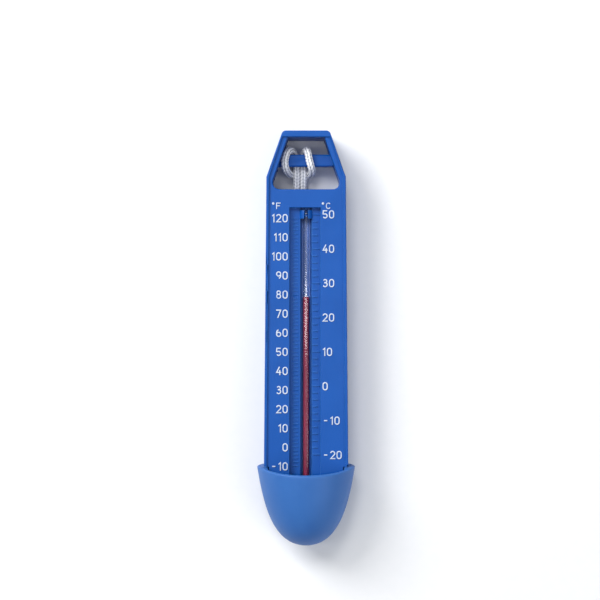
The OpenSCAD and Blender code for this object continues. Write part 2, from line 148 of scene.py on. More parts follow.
def add_floor():
    half = 1.5
    z = -0.1 * MM
    corners = [(-half, -half, z), (half, -half, z), (half, half, z), (-half, half, z)]
    floor = new_mesh("floor", corners, [(0, 1, 2, 3)], smooth=False)
    material, tree, shader = new_material("floor_paper")
    grain = noise(tree, object_place(tree), 300, 4)
    tone = mix_colour(tree, grain, (0.84, 0.85, 0.86, 1), (0.88, 0.88, 0.89, 1))
    tree.links.new(tone, shader.inputs["Base Color"])
    shader.inputs["Roughness"].default_value = 0.9
    floor.data.materials.append(material)


# ---- node helpers ----


def new_material(name):
    """A material with its node tree and its Principled shader."""
    material = bpy.data.materials.new(name)
    material.use_nodes = True
    tree = material.node_tree
    return material, tree, tree.nodes["Principled BSDF"]


def add_node(tree, kind, inputs=None, **settings):
    node = tree.nodes.new(kind)
    for key, value in settings.items():
        setattr(node, key, value)
    for key, value in (inputs or {}).items():
        if isinstance(value, bpy.types.NodeSocket):
            tree.links.new(value, node.inputs[key])
        else:
            node.inputs[key].default_value = value
    return node


def object_place(tree, stretch=(1, 1, 1)):
    """The point in the object's own metres, stretched along the axes."""
    coordinates = add_node(tree, "ShaderNodeTexCoord")
    mapping = add_node(tree, "ShaderNodeMapping", {"Vector": coordinates.outputs["Object"], "Scale": stretch})
    return mapping.outputs["Vector"]


def noise(tree, place, scale, detail=3, roughness=0.5):
    settings = {"Vector": place, "Scale": scale, "Detail": detail, "Roughness": roughness}
    return add_node(tree, "ShaderNodeTexNoise", settings).outputs["Fac"]


def remap(tree, value, low, high, to_low, to_high):
    settings = {"Value": value, "From Min": low, "From Max": high, "To Min": to_low, "To Max": to_high}
    return add_node(tree, "ShaderNodeMapRange", settings).outputs["Result"]


def mix_colour(tree, factor, first, second, blend_type="MIX"):
    node = add_node(tree, "ShaderNodeMix", data_type="RGBA", blend_type=blend_type)
    for index, value in ((0, factor), (6, first), (7, second)):
        if isinstance(value, bpy.types.NodeSocket):
            tree.links.new(value, node.inputs[index])
        else:
            node.inputs[index].default_value = value
    return node.outputs[2]


def edge_mask(tree, radius, gain):
    """Near 1 within radius of a sharp edge, and 0 on flat ground."""
    rounded = add_node(tree, "ShaderNodeBevel", {"Radius": radius}, samples=6).outputs["Normal"]
    plain = add_node(tree, "ShaderNodeNewGeometry").outputs["Normal"]
    dot = add_node(tree, "ShaderNodeVectorMath", {0: rounded, 1: plain}, operation="DOT_PRODUCT")
    return remap(tree, dot.outputs["Value"], 1, 1 - 1 / gain, 0, 1)


def bump(tree, height, strength, distance):
    inputs = {"Height": height, "Strength": strength, "Distance": distance}
    return add_node(tree, "ShaderNodeBump", inputs).outputs["Normal"]


# ---- materials ----


def plastic(name, colour, pale, roughness, grain, worn_and_highlit, gloss):
    """Moulded plastic: cloudy colour, flow marks along the moulding, fine grain, and edges painted lighter,
    partly as rubbed wear and partly as a painted highlight.
    """
    material, tree, shader = new_material(name)
    clouds = noise(tree, object_place(tree), 60, 4)
    flow = noise(tree, object_place(tree, (1, 0.12, 1)), 260, 5, 0.6)
    base = mix_colour(tree, remap(tree, clouds, 0.35, 0.65, 0, 1), colour, pale)
    base = mix_colour(tree, remap(tree, flow, 0.4, 0.75, 0, 0.35), base, pale)
    # every sharp edge, convex or concave, is painted lighter: rubbed wear plus a painted highlight
    base = mix_colour(tree, edge_mask(tree, 0.35 * MM, 3), base, worn_and_highlit)
    tree.links.new(base, shader.inputs["Base Color"])
    fine = noise(tree, object_place(tree), 2600, 3, 0.6)
    uneven = remap(tree, flow, 0.2, 0.8, roughness - 0.06, roughness + 0.08)
    tree.links.new(uneven, shader.inputs["Roughness"])
    tree.links.new(bump(tree, fine, grain, 0.03 * MM), shader.inputs["Normal"])
    shader.inputs["Specular IOR Level"].default_value = gloss
    return material


def housing_material():
    # the third colour is the edges' rubbed wear and painted highlight
    blue, pale, worn_and_highlit = (0.003, 0.074, 0.34, 1), (0.005, 0.085, 0.38, 1), (0.05, 0.2, 0.53, 1)
    return plastic("housing_plastic", blue, pale, 0.36, 0.25, worn_and_highlit, 0.22)


def cup_material():
    # the third colour is the edges' rubbed wear and painted highlight
    blue, pale, worn_and_highlit = (0.028, 0.13, 0.41, 1), (0.036, 0.15, 0.45, 1), (0.09, 0.25, 0.57, 1)
    material = plastic("cup_plastic", blue, pale, 0.5, 0.35, worn_and_highlit, 0.4)
    shader = material.node_tree.nodes["Principled BSDF"]
    shader.inputs["Subsurface Weight"].default_value = 0.25
    shader.inputs["Subsurface Radius"].default_value = (0.4, 0.7, 1)
    shader.inputs["Subsurface Scale"].default_value = 0.6 * MM
    return material


def foam_material():
    material, tree, shader = new_material("foam")
    voronoi = add_node(tree, "ShaderNodeTexVoronoi", {"Vector": object_place(tree), "Scale": 1400})
    cells = voronoi.outputs["Distance"]
    tone = mix_colour(tree, cells, (0.86, 0.86, 0.82, 1), (0.62, 0.62, 0.57, 1))
    tree.links.new(tone, shader.inputs["Base Color"])
    tree.links.new(bump(tree, cells, 0.7, 0.2 * MM), shader.inputs["Normal"])
    shader.inputs["Roughness"].default_value = 0.85
    return material


def paint_material():
    """White hot-stamped paint, thin in places so that the blue shows through."""
    material, tree, shader = new_material("figure_paint")
    blotches = noise(tree, object_place(tree), 900, 4, 0.65)
    thin = remap(tree, blotches, 0.5, 0.75, 0, 0.65)
    tone = mix_colour(tree, thin, (0.58, 0.64, 0.74, 1), (0.12, 0.24, 0.56, 1))
    tree.links.new(tone, shader.inputs["Base Color"])
    tree.links.new(remap(tree, blotches, 0.3, 0.7, 0.42, 0.6), shader.inputs["Roughness"])
    tree.links.new(bump(tree, blotches, 0.3, 0.04 * MM), shader.inputs["Normal"])
    return material


def glass_material():
    material, tree, shader = new_material("tube_glass")
    shader.inputs["Base Color"].default_value = (0.95, 0.97, 1, 1)
    shader.inputs["Transmission Weight"].default_value = 1
    shader.inputs["IOR"].default_value = 1.47
    draw_lines = noise(tree, object_place(tree, (1, 0.02, 1)), 1200, 2)
    tree.links.new(remap(tree, draw_lines, 0.3, 0.7, 0.06, 0.1), shader.inputs["Roughness"])
    return material


def spirit_material():
    material, tree, shader = new_material("spirit")
    depth = noise(tree, object_place(tree, (1, 0.05, 1)), 500, 2)
    depth_share = remap(tree, depth, 0.3, 0.7, 0, 1)
    tone = mix_colour(tree, depth_share, (0.13, 0.014, 0.035, 1), (0.17, 0.02, 0.045, 1))
    tree.links.new(tone, shader.inputs["Base Color"])
    tree.links.new(remap(tree, depth, 0.3, 0.7, 0.15, 0.25), shader.inputs["Roughness"])
    shader.inputs["IOR"].default_value = 1.36
    return material


def enamel_material():
    """Milky enamel, painted a dark blue-grey as the shade it lies in deep in the groove, with faint streaks
    along the tube.
    """
    material, tree, shader = new_material("tube_enamel")
    streak = noise(tree, object_place(tree, (1, 0.05, 1)), 900, 3)
    # painted shade: the pale enamel is coloured dark blue-grey
    tone = mix_colour(tree, streak, (0.06, 0.09, 0.2, 1), (0.08, 0.115, 0.24, 1))
    tree.links.new(tone, shader.inputs["Base Color"])
    shader.inputs["Roughness"].default_value = 0.6
    shader.inputs["Specular IOR Level"].default_value = 0.1
    return material


def rubber_material():
    material, tree, shader = new_material("sleeve_rubber")
    dust = noise(tree, object_place(tree), 1800, 4)
    tone = mix_colour(tree, dust, (0.7, 0.7, 0.67, 1), (0.52, 0.52, 0.5, 1))
    tree.links.new(tone, shader.inputs["Base Color"])
    tree.links.new(bump(tree, dust, 0.4, 0.05 * MM), shader.inputs["Normal"])
    shader.inputs["Roughness"].default_value = 0.6
    return material


def braid_material():
    """White nylon: each stitch shines, and the valleys between stitches carry painted shade, a grey-blue that
    deepens with their depth.
    """
    material, tree, shader = new_material("cord_braid")
    relief = add_node(tree, "ShaderNodeAttribute", attribute_name="relief").outputs["Fac"]
    place = object_place(tree)
    fibres = noise(tree, place, 5200, 2, 0.7)
    soil = noise(tree, place, 120, 3)
    # painted shade: the lower the braid's relief, the darker its colour
    height = remap(tree, relief, 0.2, 0.75, 0, 1)
    tone = mix_colour(tree, height, (0.16, 0.19, 0.25, 1), (0.93, 0.93, 0.94, 1))
    tone = mix_colour(tree, remap(tree, soil, 0.4, 0.8, 0, 0.25), tone, (0.7, 0.71, 0.72, 1))
    tree.links.new(tone, shader.inputs["Base Color"])
    tree.links.new(remap(tree, fibres, 0.3, 0.7, 0.4, 0.62), shader.inputs["Roughness"])
    tree.links.new(bump(tree, fibres, 0.5, 0.06 * MM), shader.inputs["Normal"])
    shader.inputs["Sheen Weight"].default_value = 0.35
    shader.inputs["Sheen Roughness"].default_value = 0.4
    return material


def metal_material():
    material, tree, shader = new_material("sleeve_metal")
    scratches = noise(tree, object_place(tree, (1, 0.06, 1)), 2400, 3, 0.7)
    tone = mix_colour(tree, scratches, (0.6, 0.61, 0.63, 1), (0.78, 0.79, 0.8, 1))
    tree.links.new(tone, shader.inputs["Base Color"])
    tree.links.new(remap(tree, scratches, 0.3, 0.7, 0.25, 0.5), shader.inputs["Roughness"])
    tree.links.new(bump(tree, scratches, 0.2, 0.03 * MM), shader.inputs["Normal"])
    shader.inputs["Metallic"].default_value = 1
    return material


def tie_material():
    material, tree, shader = new_material("tie")
    wrinkles = noise(tree, object_place(tree, (1, 3, 1)), 900, 3)
    tone = mix_colour(tree, wrinkles, (0.02, 0.02, 0.024, 1), (0.05, 0.05, 0.055, 1))
    tree.links.new(tone, shader.inputs["Base Color"])
    tree.links.new(bump(tree, wrinkles, 0.5, 0.08 * MM), shader.inputs["Normal"])
    shader.inputs["Roughness"].default_value = 0.38
    return material


# ---- cord ----

CORD_DIAMETER = 2.4 * MM
# from the hank, round the cross bar and back to the hank, in millimetres
CORD_ROUTE = [
    (-5.2, 48, 4.2), (-4.2, 50.6, 4.3), (-3.5, 53.6, 4.5), (-3.4, 57, 4.9), (-3.4, 60.5, 5.1),
    (-3.6, 64.6, 5.1), (-4.2, 67.2, 5.1), (-5, 68.4, 6.6), (-6.1, 68.5, 9.2), (-7, 67.3, 10.9),
    (-7.7, 64.8, 10.9), (-7.6, 62.6, 10.8), (-7, 61, 8.8), (-6.1, 60.2, 5.8), (-4.6, 59.8, 3),
    (-2.1, 59.6, 2.4), (0.5, 59.8, 3), (1.8, 60.2, 5.8), (2.2, 61, 8.8), (1.8, 62.6, 10.8),
    (1.2, 64.8, 10.9), (0.7, 67.3, 10.9), (0.2, 68.5, 9.2), (-0.3, 68.4, 6.6), (-0.7, 67.2, 5.1),
    (-0.9, 64.6, 5.1), (-0.9, 60.5, 5.1), (-0.9, 57, 4.5), (-0.8, 53.6, 3.3), (0.6, 50.6, 2.1),
    (3.6, 49, 1.7),
]
# the bends by which the two strands swing out to the hank's outer lanes
LEFT_ENTRY = [(-7.1, 45.7, 4.15), (-9.1, 43, 4.15), (-10.4, 39.9, 4.15)]
RIGHT_ENTRY = [(6.6, 47.7, 1.7), (9, 44.9, 1.7), (10.4, 41.4, 1.7)]
HANK_RADII = [10.8, 8.4, 6]
HANK_CENTRE_Y = 37.5
HANK_RUN = 38
HANK_STEP = 3.8  # distance between route points along a run
HALF_TURN_STEPS = 12
LANE_SHIFT_ANGLE = 125  # degrees of an upper half turn in which the cord moves one lane inwards
# where the two strands end, just past the sleeve
END_X = 1.3
END_Z = 2.93
END_Y = 41.2
# from the inner lane to the sleeve: distance from the middle, and distance up from the lower half turns
SLEEVE_APPROACH = [(6, 5), (6, 10), (5.7, 15), (4.4, 20), (2.6, 25), (END_X, 30)]
SLEEVE_PLACES = (33.5, 37.5, END_Y)  # Y of the last points, through the sleeve and out of it


def ease(t):
    t = min(max(t, 0), 1)
    return t * t * (3 - 2 * t)


def hank_strand(side, z):
    """One leg of the cord in the hank: down the outer lane, inwards turn by turn, then up into the sleeve."""
    low_y = HANK_CENTRE_Y - HANK_RUN
    steps = round(HANK_RUN / HANK_STEP)
    points = []
    for turn, radius in enumerate(HANK_RADII):
        points += [(side * radius, HANK_CENTRE_Y - HANK_STEP * i, z) for i in range(steps)]
        for i in range(HALF_TURN_STEPS + 1):
            angle = math.pi * i / HALF_TURN_STEPS
            points.append((side * radius * math.cos(angle), low_y - radius * math.sin(angle), z))
        if turn == len(HANK_RADII) - 1:
            break
        points += [(-side * radius, low_y + HANK_STEP * i, z) for i in range(1, steps)]
        for i in range(HALF_TURN_STEPS):
            shift = ease(i / HALF_TURN_STEPS * 180 / LANE_SHIFT_ANGLE)
            shrunk = radius + (HANK_RADII[turn + 1] - radius) * shift
            angle = math.pi * i / HALF_TURN_STEPS
            points.append((-side * shrunk * math.cos(angle), HANK_CENTRE_Y + shrunk * math.sin(angle), z))
    for i, (x, height) in enumerate(SLEEVE_APPROACH):
        lift = ease(i / (len(SLEEVE_APPROACH) - 1))
        points.append((-side * x, low_y + height, z + (END_Z - z) * lift))
    return points + [(-side * END_X, y, END_Z) for y in SLEEVE_PLACES]


def smooth_line(points, step):
    """The curve through the points, with a point every step metres (step may be a function of the point)."""
    p = np.array(points, float)
    p = np.vstack([2 * p[0] - p[1], p, 2 * p[-1] - p[-2]])
    t = np.linspace(0, 1, 24, endpoint=False)[:, None]
    dense = []
    for a, b, c, d in zip(p[:-3], p[1:-2], p[2:-1], p[3:]):
        second = 2 * a - 5 * b + 4 * c - d
        third = 3 * b - a - 3 * c + d
        dense.append(0.5 * (2 * b + (c - a) * t + second * t**2 + third * t**3))
    dense = np.vstack([*dense, p[-2]])
    weight = 1 / np.array([step(q) for q in dense])
    length = np.linalg.norm(np.diff(dense, axis=0), axis=1)
    travelled = np.concatenate([[0], np.cumsum(length * (weight[1:] + weight[:-1]) / 2)])
    places = np.linspace(0, travelled[-1], max(round(travelled[-1]), 2) + 1)
    return np.stack([np.interp(places, travelled, dense[:, k]) for k in range(3)], 1)


def carried_frames(line):
    """Tangents and two directions across the line at each point, without twist."""
    tangent = np.gradient(line, axis=0)
    tangent /= np.linalg.norm(tangent, axis=1)[:, None]
    across = np.zeros_like(line)
    side = np.cross(tangent[0], (0.3, 0.2, 1))
    for i, t in enumerate(tangent):
        side = side - t * (side @ t)
        side /= np.linalg.norm(side)
        across[i] = side
    return tangent, across, np.cross(tangent, across)


BRAID_COLUMNS = 6  # columns of stitches round the cord
STITCH_LENGTH = 1.15 * MM
STITCH_SLANT = 0.75
BRAID_DEPTH = 0.22  # depth of the valleys, as a part of the cord's radius
END_ROUNDING = 0.6  # length of the round ends, as a part of the cord's radius
LOOSE_GROWTH = 0.12  # how much thicker the cord is where nothing presses it


def braid_relief(angle, along):
    """Height of the braid, 0 to 1: columns of slanting stitches that lean left and right in turn."""
    column = BRAID_COLUMNS * angle / (2 * math.pi)
    across = column % 1 - 0.5
    lean = np.where(np.floor(column) % 2 == 0, STITCH_SLANT, -STITCH_SLANT)
    stitch = (along / STITCH_LENGTH + lean * across) % 1
    round_top = np.sqrt(np.clip(1 - abs(2 * across) ** 3, 0, 1))
    return round_top * np.sqrt(np.clip(1 - abs(2 * stitch - 1) ** 3, 0, 1))


def braided_tube(name, line, radii, material, sides=36):
    """A tube along a line with a braid worked into its surface, and closed round ends."""
    _, first, second = carried_frames(line)
    along = np.concatenate([[0], np.cumsum(np.linalg.norm(np.diff(line, axis=0), axis=1))])
    angle = 2 * math.pi * np.arange(sides) / sides
    relief = braid_relief(angle[None, :], along[:, None])
    to_end = np.minimum(along, along[-1] - along) / (END_ROUNDING * radii)
    radii = radii * np.sqrt(np.clip(1 - (1 - np.clip(to_end, 0.02, 1)) ** 2, 0, 1))
    reach = radii[:, None] * (1 - BRAID_DEPTH + BRAID_DEPTH * relief)
    spokes = np.cos(angle)[None, :, None] * first[:, None] + np.sin(angle)[None, :, None] * second[:, None]
    points = (line[:, None] + reach[:, :, None] * spokes).reshape(-1, 3)
    obj = new_mesh(name, points, tube_faces(len(line), sides), material)
    attribute = obj.data.attributes.new("relief", "FLOAT", "POINT")
    attribute.data.foreach_set("value", relief.ravel().astype(np.float32))
    return obj


SLACK_FROM = 46  # Y below which the cord lies pressed together in the hank
SLACK_STRETCH = 6  # length over which it becomes loose
FINE_STEP = 0.2  # distance between rings where the cord is loose
COARSE_STEP = 0.4


def slack(y):
    """0 in the hank, 1 in the window, for a y in metres."""
    return ease((y / MM - SLACK_FROM) / SLACK_STRETCH)


def cord_step(point):
    """Ring spacing: fine where the cord shows in the window, coarser in the hank."""
    return (COARSE_STEP + (FINE_STEP - COARSE_STEP) * slack(point[1])) * MM


def add_cord(material):
    left = hank_strand(-1, LEFT_ENTRY[0][2])
    right = hank_strand(1, RIGHT_ENTRY[0][2])
    route = [*reversed(left), *reversed(LEFT_ENTRY), *CORD_ROUTE, *RIGHT_ENTRY, *right]
    line = smooth_line(np.array(route) * MM, cord_step)
    # the cord is pressed together in the hank, and loose in the window
    radii = np.array([CORD_DIAMETER / 2 * (1 + LOOSE_GROWTH * slack(y)) for y in line[:, 1]])
    cord = braided_tube("cord", line, radii, material)
    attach(cord, "thermometer")
    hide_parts("cord_run", "cord_hank")


# ---- housing ----


def finish_shading(obj, angle):
    """Smooth faces with creases at edges sharper than the angle in degrees, and flat ground kept flat."""
    obj.data.shade_smooth()
    obj.data.set_sharp_from_angle(angle=math.radians(angle))
    weighted = obj.modifiers.new("weighted", "WEIGHTED_NORMAL")
    weighted.keep_sharp = True


# Y of the cuts across the housing that shorten its long faces and keep clear of its edges, in millimetres
FACE_CUTS = np.append(np.arange(-72, 51, 4.7), 60.3)
CUT_SNAP = 1e-7  # metres
ON_CUT = 0.001  # millimetres
SAME_PLANE_ANGLE = 0.3  # faces that turn less than this, in degrees, count as one plane


def even_faces(bm):
    """Turns the long thin triangles up to the last cut into short flat faces."""
    for y in FACE_CUTS:
        geometry = [*bm.verts, *bm.edges, *bm.faces]
        bmesh.ops.bisect_plane(bm, geom=geometry, plane_co=(0, y * MM, 0), plane_no=(0, 1, 0), dist=CUT_SNAP)
    inner = []
    for edge in bm.edges:
        low, high = sorted(vert.co.y / MM for vert in edge.verts)
        on_cut = high - low < ON_CUT and min(abs(FACE_CUTS - low)) < ON_CUT
        is_flat = edge.calc_face_angle(1) < math.radians(SAME_PLANE_ANGLE)
        if not on_cut and high < FACE_CUTS[-1] + ON_CUT and is_flat:
            inner.append(edge)
    bmesh.ops.dissolve_edges(bm, edges=inner, use_verts=False)


SHARPEST_FLAT = 28  # edges that turn less than this, in degrees, aren't rounded
CREASE_ANGLE = 36


def rounded_copy(node, width_of, material, even=False):
    """A copy of a CAD node whose convex edges are rounded by width_of(low corner, high corner) millimetres.

    With even, its long thin triangles are made into even faces first.
    """
    bm = bmesh.new()
    bm.from_mesh(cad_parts[node].data)
    bmesh.ops.remove_doubles(bm, verts=bm.verts, dist=0.002 * MM)
    if even:
        even_faces(bm)
    weights = bm.edges.layers.float.new("bevel_weight_edge")
    for edge in bm.edges:
        if edge.is_convex and edge.calc_face_angle(0) > math.radians(SHARPEST_FLAT):
            ends = np.array([vert.co for vert in edge.verts]) / MM
            edge[weights] = width_of(ends.min(0), ends.max(0))
    mesh = bpy.data.meshes.new(node + "_rounded")
    bm.to_mesh(mesh)
    bm.free()
    obj = link(bpy.data.objects.new(node + "_rounded", mesh))
    bevel = obj.modifiers.new("rounding", "BEVEL")
    bevel.width = MM
    bevel.segments = 3
    bevel.limit_method = "WEIGHT"
    bevel.use_clamp_overlap = False
    obj.data = bpy.data.meshes.new_from_object(obj.evaluated_get(bpy.context.evaluated_depsgraph_get()))
    obj.modifiers.clear()
    obj.data.materials.append(material)
    finish_shading(obj, CREASE_ANGLE)
    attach(obj, "thermometer")
    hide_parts(node)
    return obj


FACE_TOP = 16.7
RIM_TOP = 17.5
CHANNEL_TOP = 47.3
BAR_LOW = (62.5, 6.5)  # Y and Z of the cross bar's lower back edge
BAR_HIGH = (67, 9.5)  # and of its upper front edge
NEAR = 0.05
NOTCH_REACH = 1.5  # how far the rail's notch reaches up from the cup's rim
RAIL_ROUNDING = 0.36
NOTCH_ROUNDING = 0.1
WINDOW_ROUNDING = 0.45
CHANNEL_ROUNDING = 0.2
BACK_ROUNDING = 0.3
BAR_ROUNDING = 0.7
SMALL_ROUNDING = 0.08
COVER_ROUNDING = 0.15
FIGURE_ROUNDING = 0.07


def housing_rounding(low, high):
    """Rounding of one housing edge, in millimetres, given the edge's lowest and highest corner."""
    if low[2] > RIM_TOP - NEAR:
        return NOTCH_ROUNDING if high[1] < RIM_Y + NOTCH_REACH else RAIL_ROUNDING
    if low[2] > FACE_TOP - NEAR and high[2] < FACE_TOP + NEAR:
        return WINDOW_ROUNDING if low[1] > CHANNEL_TOP + 2 else CHANNEL_ROUNDING
    if high[2] < NEAR:
        return BACK_ROUNDING
    above_bar_low = low[1] > BAR_LOW[0] - NEAR and low[2] > BAR_LOW[1] - 2 * NEAR
    below_bar_high = high[1] < BAR_HIGH[0] + NEAR and high[2] < BAR_HIGH[1] + 2 * NEAR
    runs_across = high[0] - low[0] > 8
    if above_bar_low and below_bar_high and runs_across:
        return BAR_ROUNDING
    return SMALL_ROUNDING


def add_housing(material):
    housing = rounded_copy("front_housing", housing_rounding, material, even=True)
    cover = rounded_copy("rear_cover", lambda low, high: COVER_ROUNDING, material)


def figure_rounding(low, high):
    """Rounds the front edges of the figures, and leaves the edges on the face."""
    return FIGURE_ROUNDING if low[2] > FACE_TOP + 2 * NEAR else 0


def add_figures(material):
    for node in ("fahrenheit_figures", "celsius_figures"):
        figures = rounded_copy(node, figure_rounding, material)


# ---- tube, spirit and sleeve ----

TUBE_Z = 13.25
TUBE_RADIUS = 1.4
TUBE_TOP = 47
BORE_RADIUS = 0.7
BULB_RADIUS = 2.3
BULB_LOW = -67.5
NECK_Y = -57.6
WAIST = 4  # length over which the bulb narrows to the tube
BULB_WALL = 0.5
SPIRIT_TOP = 15.12
MENISCUS_LENGTH = 1.2
SLEEVE_ROWS = (-55.8, -51.8)


def lathe(name, outlines, material, body, sides=48):
    """Turns outlines, lists of (y, radius) in millimetres, about the tube's axis."""
    points = []
    faces = []
    for outline in outlines:
        base = len(points)
        for y, radius in outline:
            for k in range(sides):
                angle = 2 * math.pi * k / sides
                height = TUBE_Z + radius * math.cos(angle)
                points.append((radius * math.sin(angle) * MM, y * MM, height * MM))
        bands = tube_faces(len(outline), sides, closed_ends=False)
        faces += [tuple(base + k for k in face) for face in bands]
    obj = new_mesh(name, points, faces, material)
    merge_points(obj, outwards=len(outlines) == 1)
    if body:
        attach(obj, body)
    return obj


def dome(y, radius, from_angle, to_angle, steps=10):
    """Outline of part of a sphere of that radius about (y, 0); angles run from the lower pole."""
    angles = np.radians(np.linspace(from_angle, to_angle, steps + 1))
    return [(y - radius * math.cos(a), max(radius * math.sin(a), 0)) for a in angles]


def bulb_outline(inset):
    """From the bulb's lower end up to its neck, smaller all over by inset."""
    radius = BULB_RADIUS - inset
    neck = TUBE_RADIUS - inset
    low = dome(BULB_LOW + BULB_RADIUS, radius, 0, 90)
    shares = np.linspace(0, 1, 9)
    waist = [(NECK_Y - WAIST * (1 - t), radius + (neck - radius) * ease(t)) for t in shares]
    return low + waist


def straight(radius):
    """The tube's straight part, in short stretches."""
    return [(y, radius) for y in np.linspace(NECK_Y + 0.5, TUBE_TOP - 4, 30)]


def add_tube(glass, enamel):
    outer = bulb_outline(0) + straight(TUBE_RADIUS) + dome(TUBE_TOP - TUBE_RADIUS, TUBE_RADIUS, 90, 180)
    bore_top = dome(TUBE_TOP - TUBE_RADIUS - 1, BORE_RADIUS, 90, 180, 6)
    inner = bulb_outline(BULB_WALL)[:-1] + [(NECK_Y, BORE_RADIUS)] + straight(BORE_RADIUS) + bore_top
    tube = lathe("tube", [outer, list(reversed(inner))], glass, "thermometer")
    tube.visible_shadow = False  # the glass lets light through to the bore
    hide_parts("glass_tube")
    add_enamel(enamel)


def add_enamel(material):
    """A pale strip fused into the glass behind the bore."""
    reach = math.radians(75)
    radii = (1.0, 1.1)
    steps = 12
    section = []
    for radius, turn in ((radii[0], 1), (radii[1], -1)):
        for i in range(steps + 1):
            angle = turn * reach * (2 * i / steps - 1)
            section.append((radius * math.sin(angle), TUBE_Z - radius * math.cos(angle)))
    rows = np.linspace(NECK_Y + 1, TUBE_TOP - 3, 12)
    points = [(x * MM, y * MM, z * MM) for y in rows for x, z in section]
    count = len(section)
    faces = []
    for i in range(len(rows) - 1):
        for k in range(count):
            a, b = i * count + k, i * count + (k + 1) % count
            faces.append((a, a + count, b + count, b))
    faces.append(tuple(range(count)))
    faces.append(tuple(reversed(range((len(rows) - 1) * count, len(rows) * count))))
    strip = new_mesh("tube_enamel", points, faces, material)
    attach(strip, "thermometer")


COLUMN_RADIUS = BORE_RADIUS + 0.015  # just into the glass, so that no gap shows
COLUMN_START = 1.2  # from the bulb's tip to the column's lower end, which stays in the bulb
BULB_LIQUID_INSET = 0.48
MENISCUS_DIP = 0.35
MENISCUS_OVERLAP = 0.02


def add_bulb_liquid(material):
    bulb = lathe("bulb_liquid", [bulb_outline(BULB_LIQUID_INSET)], material, "thermometer")
    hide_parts("bulb_spirit")


def add_column(material, column_low, column_top):
    """The spirit in the bore: its lower end stays in the bulb, and its upper end follows the surface."""
    rows = np.linspace(column_low, column_top, 60)
    outline = [(column_low, 0), *((y, COLUMN_RADIUS) for y in rows), (column_top, 0)]
    column = lathe("column", [outline], material, None, sides=32)
    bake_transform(column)
    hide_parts("spirit_column")


def add_meniscus(material, column_top):
    """The top of the spirit, which is hollow because the spirit creeps up the wall of the bore."""
    shares = np.linspace(0, 1, 9)
    lowest = SPIRIT_TOP - MENISCUS_DIP
    hollow = [(lowest + MENISCUS_DIP * (1 - math.cos(math.pi / 2 * t)), COLUMN_RADIUS * t) for t in shares]
    low = column_top - MENISCUS_OVERLAP
    outline = [(low, 0), (low, COLUMN_RADIUS), *reversed(hollow)]
    meniscus = lathe("meniscus", [outline], material, "spirit", sides=32)
    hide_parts("spirit_meniscus")


def add_spirit(material):
    column_top = SPIRIT_TOP - MENISCUS_LENGTH
    add_bulb_liquid(material)
    add_column(material, BULB_LOW + COLUMN_START, column_top)
    add_meniscus(material, column_top)


def add_bulb_sleeve(material):
    """A soft ring with rounded outer edges."""
    low, high = SLEEVE_ROWS
    outer = 2.05
    inner = TUBE_RADIUS + 0.01
    soft = 0.3
    quarter = np.linspace(0, math.pi / 2, 5)
    outline = [(low, inner), (low, outer - soft)]
    outline += [(low + soft * (1 - math.cos(a)), outer - soft * (1 - math.sin(a))) for a in quarter]
    outline += [(high - soft * (1 - math.sin(a)), outer - soft * (1 - math.cos(a))) for a in quarter]
    outline += [(high, inner), (low, inner)]
    sleeve = lathe("sleeve_ring", [outline], material, "thermometer")
    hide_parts("bulb_sleeve")


# ---- scoop cup ----

TIP_Y = -75
RIM_Y = -46.1
CUP_AXIS_Z = 11.2
CUP_RADIUS = 17.8
CUP_WALL = 1.3
CUP_FLOOR = 1.4
RIM_DIP = 2.2
WATER_HALF = 13.7
LIP = 0.45  # rounding of the rim's edges
CUP_CURVE = np.array([(CUP_RADIUS, RIM_Y), (15.5, RIM_Y - 14.4), (12, TIP_Y), (0, TIP_Y)])


def cup_curve(t, inset):
    """Radius and y of the cup's outline at t, moved inwards by inset."""
    a, b, c, d = CUP_CURVE
    t = t[..., None]
    place = (1 - t) ** 3 * a + 3 * (1 - t) ** 2 * t * b + 3 * (1 - t) * t**2 * c + t**3 * d
    slope = (1 - t) ** 2 * (b - a) + 2 * (1 - t) * t * (c - b) + t**2 * (d - c)
    slope /= np.linalg.norm(slope, axis=-1, keepdims=True)
    return np.maximum(place[..., 0] + inset * slope[..., 1], 0), place[..., 1] - inset * slope[..., 0]


def soft_cap(value, limit, width):
    """The value, held under the limit with a bend of that width."""
    return limit - width * np.logaddexp(0, (limit - value) / width)


def rim_height(z):
    """Y of the cup's rim at height z: level at the sides, leaning down towards the front."""
    lean = RIM_DIP / (CUP_AXIS_Z + CUP_RADIUS - FACE_TOP)
    return RIM_Y + lean * soft_cap(FACE_TOP - z, 0, 0.5)


def cup_side(angle, inset, half, floor, rows):
    """Rows of points of the cup's inner or outer side, from the lip down to the tip."""
    z = CUP_AXIS_Z + (CUP_RADIUS - inset) * np.sin(angle)
    top = rim_height(z) - LIP
    t = np.linspace(0, 1, 400)
    start = np.interp(-top, -cup_curve(t, inset)[1], t)
    t = start[None, :] + (1 - start[None, :]) * np.linspace(0, 1, rows)[:, None]
    radius, y = cup_curve(t, inset)
    x = radius * np.cos(angle)
    x = np.sign(x) * np.maximum(soft_cap(abs(x), half, 0.3), 0)
    z = -soft_cap(-(CUP_AXIS_Z + radius * np.sin(angle)), -floor, 0.2)
    return np.stack([x, y, z], -1)


def cup_lip(edge, across, turns):
    """Rows of a rounded edge that starts at edge and leads across to the other side of the rim."""
    rise = np.array([0, LIP, 0])
    return [edge + across * LIP * (1 - math.cos(a)) + rise * math.sin(a) for a in turns]


